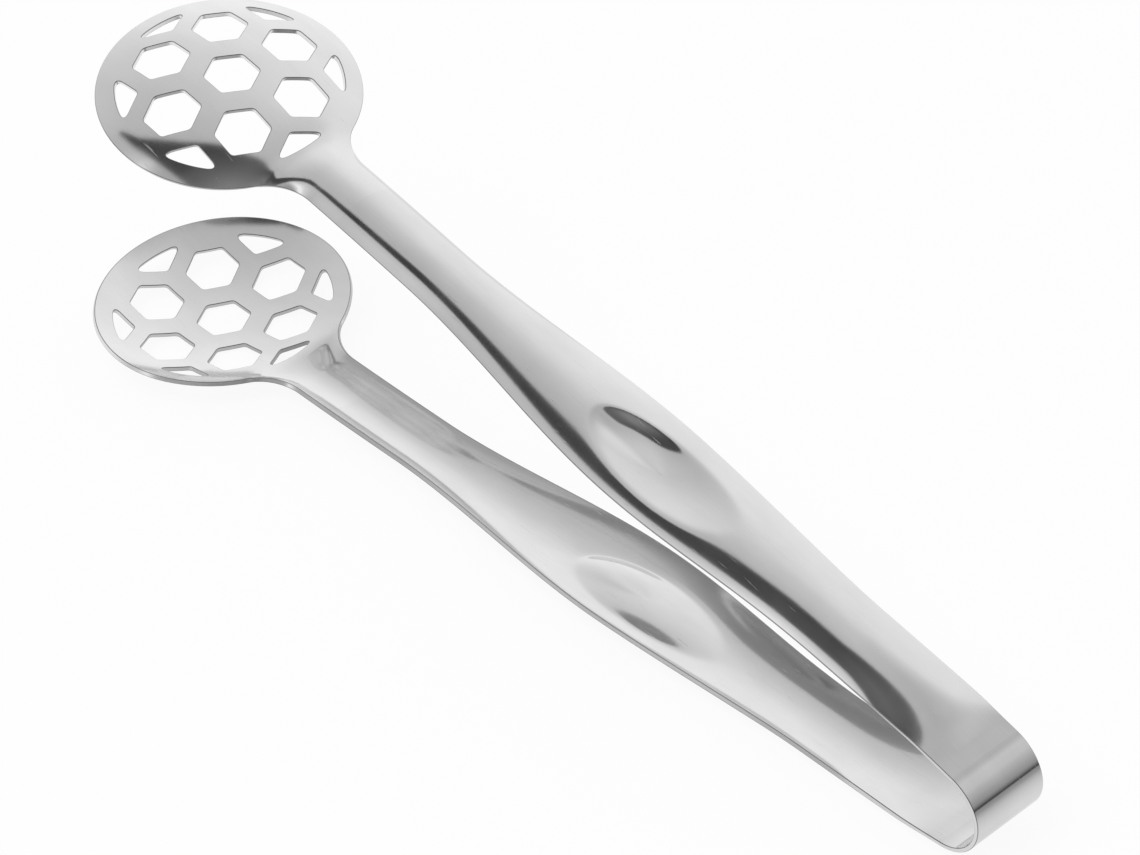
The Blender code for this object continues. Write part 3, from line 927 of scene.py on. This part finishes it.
def hang_overhead(name, corners, height, shaded):
    """A flat sheet overhead, seen only in the steel."""
    mesh = bpy.data.meshes.new(name)
    mesh.from_pydata([(x, y, height) for x, y in corners], [], [tuple(range(len(corners)))])
    material = bpy.data.materials.new(name)
    material.use_nodes = True
    tree = material.node_tree
    tree.nodes.clear()
    parts = tree.nodes.new("ShaderNodeSeparateXYZ")
    link(tree, tree.nodes.new("ShaderNodeNewGeometry").outputs["Position"], parts.inputs[0])
    output = tree.nodes.new("ShaderNodeOutputMaterial")
    link(tree, shaded(tree, parts), output.inputs["Surface"])
    mesh.materials.append(material)
    sheet = bpy.data.objects.new(name, mesh)
    sheet.visible_camera = False
    sheet.visible_diffuse = False
    sheet.visible_shadow = False
    bpy.context.scene.collection.objects.link(sheet)


def dark_panel(tree, parts):
    """The dark panel over the tongs, lighter towards the bow and the near side."""
    glow = tree.nodes.new("ShaderNodeEmission")
    along = ramp_node(tree, parts.outputs["X"], PANEL_ALONG, span_of(PANEL_ALONG))
    across = ramp_node(tree, parts.outputs["Y"], PANEL_ACROSS, span_of(PANEL_ACROSS))
    link(tree, math_node(tree, "MULTIPLY", along, across), glow.inputs["Strength"])
    return glow.outputs[0]


def grey_veil(tree, parts):
    """A veil that dims the tent behind it, evenly but for its soft rim."""
    from_centre = oval_reach(tree, parts, VEIL)
    left = ranged(tree, from_centre, VEIL_INNER_SHARE, 1.0, 1.0 - VEIL_DEPTH, 1.0)
    veil = tree.nodes.new("ShaderNodeBsdfTransparent")
    link(tree, left, veil.inputs["Color"])
    return veil.outputs[0]


def make_overhead():
    """The panel, and the veil as the rectangle round its oval."""
    centre, half_along, half_across = VEIL
    corners = [
        (centre.x + x * half_along, centre.y + y * half_across)
        for x, y in ((-1, -1), (1, -1), (1, 1), (-1, 1))
    ]
    hang_overhead("dark_panel", PANEL_CORNERS, PANEL_HEIGHT, dark_panel)
    hang_overhead("grey_veil", corners, VEIL_HEIGHT, grey_veil)


def make_lamp():
    """The soft lamp, turned to what the camera looks at."""
    light = bpy.data.lights.new("soft_lamp", "AREA")
    light.size = LAMP_SIZE
    light.energy = LAMP_POWER
    lamp = bpy.data.objects.new("soft_lamp", light)
    lamp.location = LAMP_PLACE
    lamp.rotation_euler = (CAMERA_AIM - LAMP_PLACE).to_track_quat("-Z", "Y").to_euler()
    lamp.visible_glossy = False
    bpy.context.scene.collection.objects.link(lamp)


def make_camera():
    """The camera where the photograph was taken."""
    data = bpy.data.cameras.new("camera")
    data.lens = CAMERA_LENS
    data.sensor_width = CAMERA_SENSOR
    camera = bpy.data.objects.new("camera", data)
    camera.location = CAMERA_PLACE
    aim = (CAMERA_AIM - CAMERA_PLACE).to_track_quat("-Z", "Y").to_matrix().to_4x4()
    camera.rotation_euler = aim.to_euler()
    camera.rotation_euler.rotate_axis("Z", CAMERA_ROLL)
    bpy.context.scene.collection.objects.link(camera)
    bpy.context.scene.camera = camera


# The tongs


def make_jaw(which, side, bow_body_first, steels):
    """One arm, its bowl and its half of the bow."""
    bow_steel, arm_steel, bowl_steel = steels
    arm_steps = math.ceil((BOWL_SEAM - LEG_START) / ARM_STEP)
    arm_rows = np.linspace(LEG_START, BOWL_SEAM, arm_steps + 1)
    half_bow_length = BOW_RADIUS * (math.pi / 2 - LEG_ANGLE)
    bow_rows = np.linspace(LEG_START - half_bow_length, LEG_START, BOW_STEPS + 1)
    jaw = which + "_jaw"

    arm = formed_sheet(which + "_arm_sheet", strip_pattern(arm_rows), arm_surface, side, arm_steel)
    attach(arm, jaw)
    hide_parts(which + "_arm")

    bowl = formed_sheet(which + "_bowl_sheet", bowl_pattern(), arm_surface, side, bowl_steel)
    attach(bowl, jaw)
    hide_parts(which + "_bowl")

    bow = formed_sheet(which + "_bow_sheet", strip_pattern(bow_rows), bow_surface, side, bow_steel)
    if bow_body_first:
        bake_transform(bow)
    else:
        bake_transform(bow)
    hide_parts("spring_bow")


sheet_steels = (
    steel("bow_sheet_steel", BOW_STEEL),
    steel("arm_sheet_steel", ARM_STEEL),
    steel("bowl_sheet_steel", BOWL_STEEL),
)
make_jaw("lower", -1, False, sheet_steels)
make_jaw("upper", 1, True, sheet_steels)
make_floor()
make_world()
make_overhead()
make_lamp()
make_camera()
bpy.context.scene.view_settings.view_transform = "Standard"
